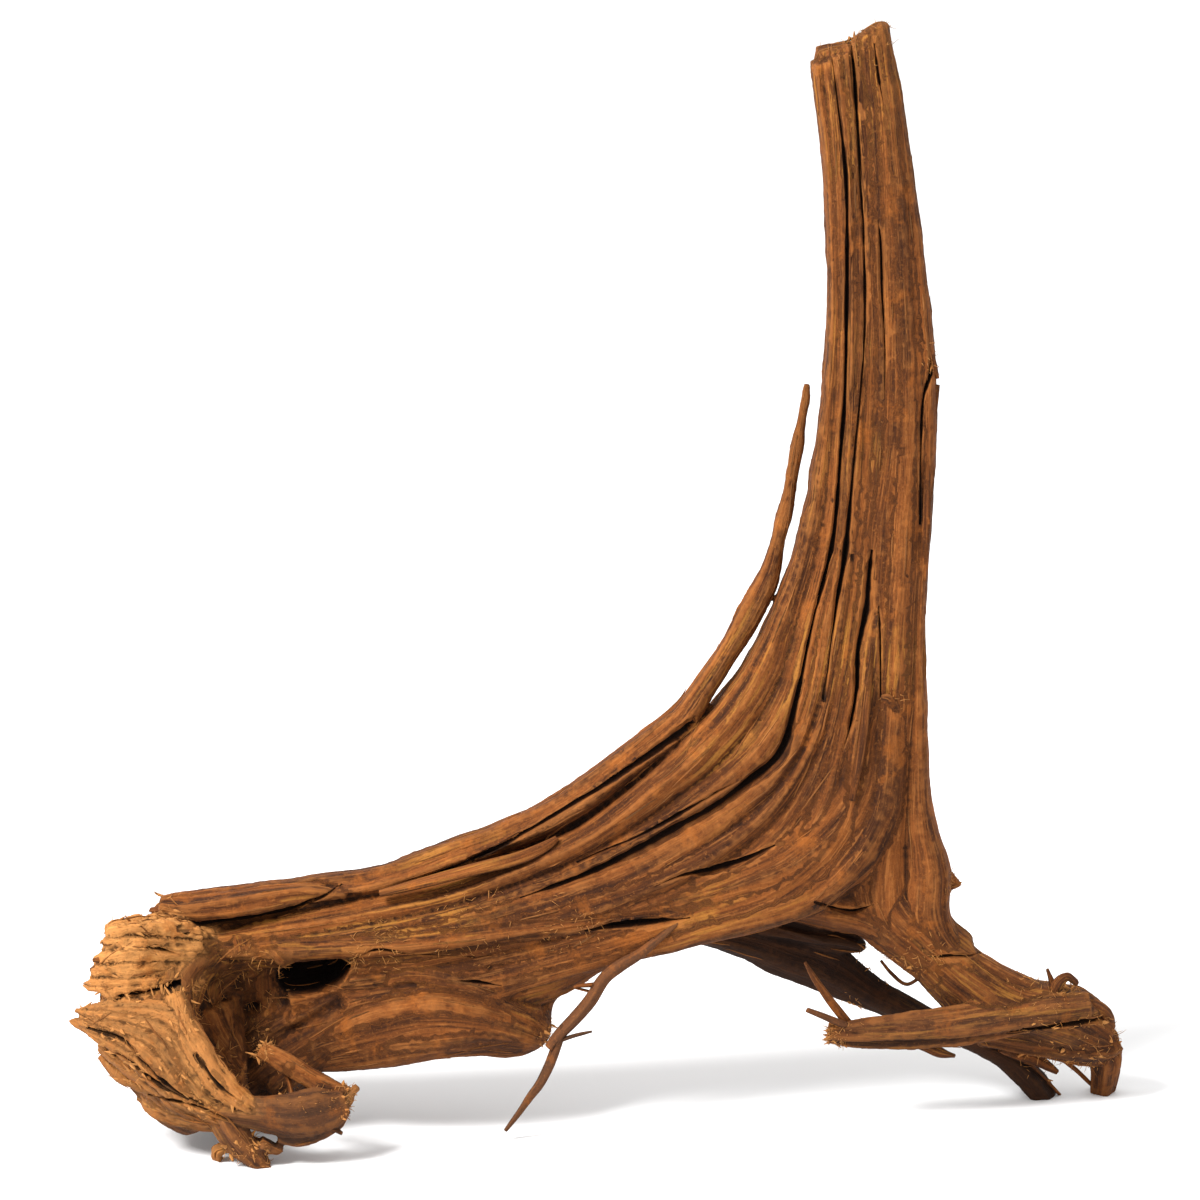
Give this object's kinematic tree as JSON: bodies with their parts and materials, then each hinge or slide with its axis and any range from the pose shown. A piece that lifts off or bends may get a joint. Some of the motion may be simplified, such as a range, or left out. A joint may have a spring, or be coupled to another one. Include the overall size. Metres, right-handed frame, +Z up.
{
  "type": "driftwood",
  "caption": "Weathered piece of driftwood with an upright grooved stem, a long curved arm ending in a hollow burl, and a torn foot with a back leg.",
  "frame": {"origin": "centre of the bounding box in plan, on the ground that the piece stands on", "axes": "+X from the hollow burl at the arm's end towards the torn foot, +Y away from the grooved front, +Z up along the stem"},
  "size_m": [0.3536, 0.0932, 0.3762],
  "materials": {
    "weathered_wood": "dry, fibrous and matt, with dark grooves and paler torn edges"
  },
  "bodies": {
    "root": {"driftwood": "weathered_wood"}
  },
  "joints": []
}
